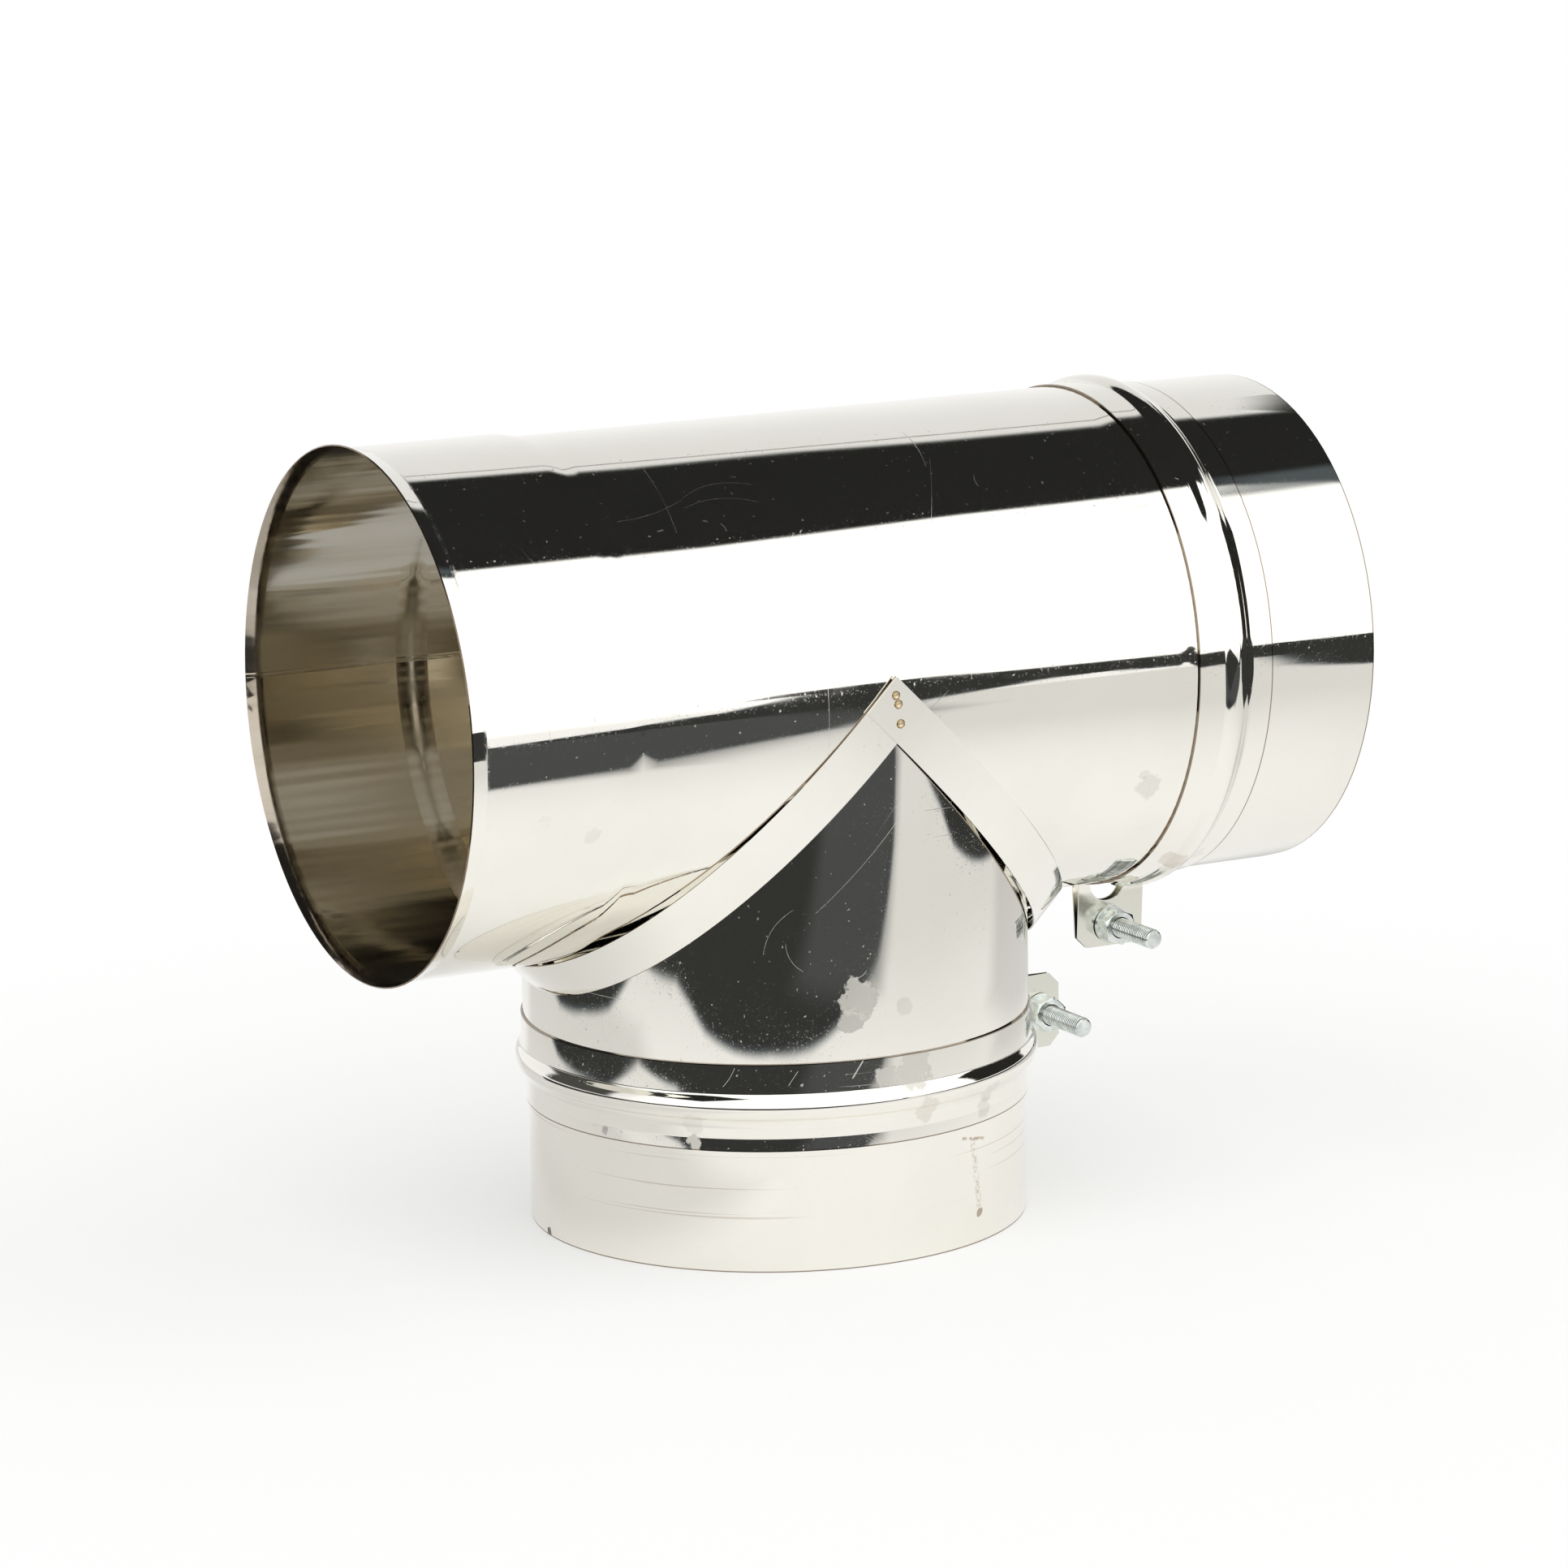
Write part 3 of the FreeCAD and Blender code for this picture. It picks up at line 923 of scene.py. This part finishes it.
def ceiling_cards():
    """The unlit gap between the lamps overhead, and the dark edge of the backdrop behind it."""
    inner = [(3.40, 1.05), (3.00, 0.88), (2.35, 0.53), (1.85, 0.28), (1.48, 0.08), (1.40, -0.16),
             (1.25, -0.24), (1.13, -0.32), (1.07, -0.44), (0.97, -0.36), (0.84, -0.385),
             (0.77, -0.40), (0.68, -0.44), (0.61, -0.475), (0.48, -0.48), (0.40, -0.48),
             (0.05, -0.47), (-0.10, -0.60), (-0.28, -0.80), (-0.60, -0.85), (-2.00, -1.00),
             (-2.00, 1.00), (0.10, 1.15), (0.30, 1.00), (0.42, 0.80), (0.53, 0.74), (0.62, 0.66),
             (0.75, 0.66), (0.84, 0.60), (0.93, 0.58), (1.10, 0.58), (1.17, 0.75), (1.35, 1.15),
             (1.75, 1.40), (2.20, 1.50), (3.30, 1.50)]
    outer = [(3.50, 0.98), (3.05, 0.82), (2.38, 0.46), (1.87, 0.21), (1.52, 0.00), (1.44, -0.22),
             (1.27, -0.30), (1.16, -0.38), (1.07, -0.52), (0.97, -0.42), (0.84, -0.45),
             (0.77, -0.46), (0.68, -0.505), (0.61, -0.54), (0.48, -0.54), (0.38, -0.54),
             (0.00, -0.53), (-0.14, -0.68), (-0.31, -0.90), (-0.62, -0.98), (-2.20, -1.15),
             (-2.20, 1.20), (0.14, 1.33), (0.36, 1.20), (0.50, 0.96), (0.57, 0.86), (0.65, 0.80),
             (0.77, 0.82), (0.86, 0.74), (0.95, 0.72), (1.11, 0.72), (1.13, 0.85), (1.30, 1.25),
             (1.72, 1.52), (2.20, 1.65), (3.40, 1.65)]
    card("ceiling_gap", gap_height, inner, outer,
         colour=(1.0, 1.0, 0.98), strength=gap_black, fringe=lamp_fringe)
    spill = [(1.04, -0.36), (1.10, -0.33), (1.09, -0.40), (1.04, -0.42)]
    soft_card("lamp_spill", gap_height - 0.004, spill, soft=0.14,
              colour=cool_glow, strength=0.13, fringe=cool_glow, most=0.75)
    edge = [(0.30, 1.30), (0.60, 0.93), (0.80, 0.86), (1.05, 0.80),
            (1.05, 0.812), (0.80, 0.872), (0.60, 0.942), (0.30, 1.312)]
    soft_card("backdrop_edge", gap_height, edge, soft=0.013,
              colour=warm_edge, strength=0.36, fringe=warm_edge)


def room_cards():
    """The dark room past the edges of the white cloth, and a sheen on it."""
    cloth_edge = [(-0.326, 0.35), (-0.339, 0.306), (-0.421, 0.198), (-0.477, 0.096),
                  (-0.60, -0.03), (-0.53, -0.20), (-0.47, -0.237), (-0.396, -0.264),
                  (-0.313, -0.316), (-0.222, -0.38), (-0.11, -0.434), (0.028, -0.515),
                  (0.160, -0.590), (0.270, -0.695), (0.350, -0.775), (0.447, -0.915),
                  (0.730, -1.380), (0.880, -1.580), (1.050, -1.810), (1.190, -2.030),
                  (1.280, -2.060), (1.150, -1.800), (1.080, -1.520), (0.760, -0.980),
                  (0.700, -0.850), (0.670, -0.760), (0.690, -0.600), (0.672, -0.456),
                  (0.697, -0.315), (0.747, -0.095), (0.93, 0.05), (0.97, 0.40), (1.10, 0.65),
                  (1.60, 0.90), (3.50, 1.30), (9.00, 1.60), (9.50, -3.00), (4.30, -3.90),
                  (2.60, -3.80), (3.75, -6.10), (4.28, -7.14), (5.13, -8.74), (6.50, -11.30),
                  (6.10, -12.00), (5.22, -9.96), (2.11, -4.22), (1.27, -2.69), (1.14, -2.50),
                  (0.89, -2.09), (0.58, -1.68), (0.30, -2.40), (-0.50, -3.20), (-4.0, -6.0),
                  (-9.0, -6.0), (-6.0, 2.5), (-1.0, 1.6)]
    soft_card("room_floor", 0.002, grown(cloth_edge, -cloth_soft), soft=2 * cloth_soft,
              colour=room_colour, strength=room_black, fringe=room_fringe)
    sheen = [(0.10, -0.62), (0.42, -0.98), (0.62, -1.50), (0.40, -1.60), (0.0, -1.0),
             (-0.08, -0.62)]
    soft_card("room_sheen", 0.003, sheen, soft=0.14,
              colour=cool_sheen, strength=0.085, fringe=cool_sheen, most=0.8)


def cloth_cards():
    """The cloth's own fall-off: a shade on either side, and one all round further out."""
    right = [(0.50, 0.00), (0.72, 0.05), (0.78, 0.40), (0.55, 0.60), (0.38, 0.35)]
    soft_card("right_shade", 0.001, right, soft=0.16,
              colour=cloth_shade, strength=0.50, fringe=cloth_shade, most=0.55)
    left = [(-0.20, -0.06), (-0.40, 0.02), (-0.50, 0.40), (-0.20, 0.55), (-0.16, 0.15)]
    soft_card("left_shade", 0.001, left, soft=0.12,
              colour=cloth_shade, strength=0.50, fringe=cloth_shade, most=0.45)
    rings = [(0.20, 0.0), (0.95, 1.0), (1.72, 1.0), (1.92, 0.0)]
    corners = [point for radius, share in rings for point in circle(radius, 0.0005)]
    faces = []
    for row in range(len(rings) - 1):
        for side in range(circle_sides):
            near, after = row * circle_sides, (side + 1) % circle_sides
            far = near + circle_sides
            faces.append([near + side, near + after, far + after, far + side])
    cover = [share for radius, share in rings for side in range(circle_sides)]
    only_reflected(stage_mesh("cloth_falloff", corners, faces), cover,
                   colour=cloth_far, strength=0.55, fringe=cloth_far, most=0.55)


def wall_card(name, columns, soft, reach, **paint):
    """An upright card round the object: columns of compass turn, lowest and highest angle."""
    corners, cover = [], []
    for index, (turn, low, high) in enumerate(columns):
        across = math.radians(turn)
        for row, rise in enumerate((low - soft, low, high, high + soft)):
            corners.append((reach * math.sin(across), reach * math.cos(across),
                            run_height + reach * math.tan(math.radians(rise))))
            cover.append(1.0 if row in (1, 2) and 0 < index < len(columns) - 1 else 0.0)
    faces = [[4 * index + row, 4 * index + row + 1, 4 * index + row + 5, 4 * index + row + 4]
             for index in range(len(columns) - 1) for row in range(3)]
    only_reflected(stage_mesh(name, corners, faces), cover, **paint)


def wall_cards():
    """The dark room to the right, the dimmer one to the left, and the far end of the room."""
    right = [(73, -3, 14), (77, -3, 15), (81, -3, 17), (88, -3, 20), (95, -3, 24), (105, -3, 28),
             (113, -3, 30), (117, -3, 31)]
    wall_card("right_room", right, soft=1.5, reach=1.6,
              colour=(1.0, 0.98, 0.92), strength=0.02, fringe=wall_fringe)
    left = [(280, -2, 44), (287, -2, 45), (305, -2, 46), (320, -2, 45), (327, -2, 44)]
    wall_card("left_room", left, soft=3.0, reach=1.6,
              colour=(1.0, 0.97, 0.90), strength=0.07, fringe=wall_fringe)
    far = [(153.2, -1.6, -1.2), (152.6, -1.6, 0.0), (151.8, -1.6, 0.5), (150.9, -1.6, 0.3),
           (150.3, -1.6, -0.8), (149.8, -1.6, -1.2)]
    wall_card("far_end", far, soft=0.2, reach=12.0,
              colour=room_colour, strength=0.04, fringe=room_fringe)


def world():
    """Soft light from all round: brighter in front, greyer high at the back."""
    scene_world = bpy.data.worlds.new("studio")
    bpy.context.scene.world = scene_world
    scene_world.use_nodes = True
    graph = Graph(scene_world.node_tree)
    split = graph.split(graph.add("ShaderNodeTexCoord").outputs["Generated"])
    at_back = graph.ramp(split[2], backdrop_foot, backdrop_top, horizon_glow, backdrop_back)
    in_front = graph.ramp(split[1], back_side, front_side)
    strength = graph.between(in_front, at_back, backdrop_front)
    glow = graph.add("ShaderNodeBackground", {"Color": white, "Strength": strength})
    graph.add("ShaderNodeOutputWorld", {0: glow.outputs[0]})


def camera():
    data = bpy.data.cameras.new("camera")
    data.lens = camera_lens
    data.sensor_width = sensor_width
    data.clip_end = camera_reach
    item = bpy.data.objects.new("camera", data)
    turn = (Matrix.Rotation(math.radians(-camera_azimuth), 4, "Z")
            @ Matrix.Rotation(math.radians(90 - camera_elevation), 4, "X")
            @ Matrix.Rotation(math.radians(camera_roll), 4, "Z"))
    item.matrix_world = Matrix.Translation(camera_place) @ turn
    bpy.context.scene.collection.objects.link(item)
    bpy.context.scene.camera = item


floor()
ceiling_cards()
room_cards()
cloth_cards()
wall_cards()
world()
camera()
bpy.context.scene.view_settings.view_transform = "Standard"
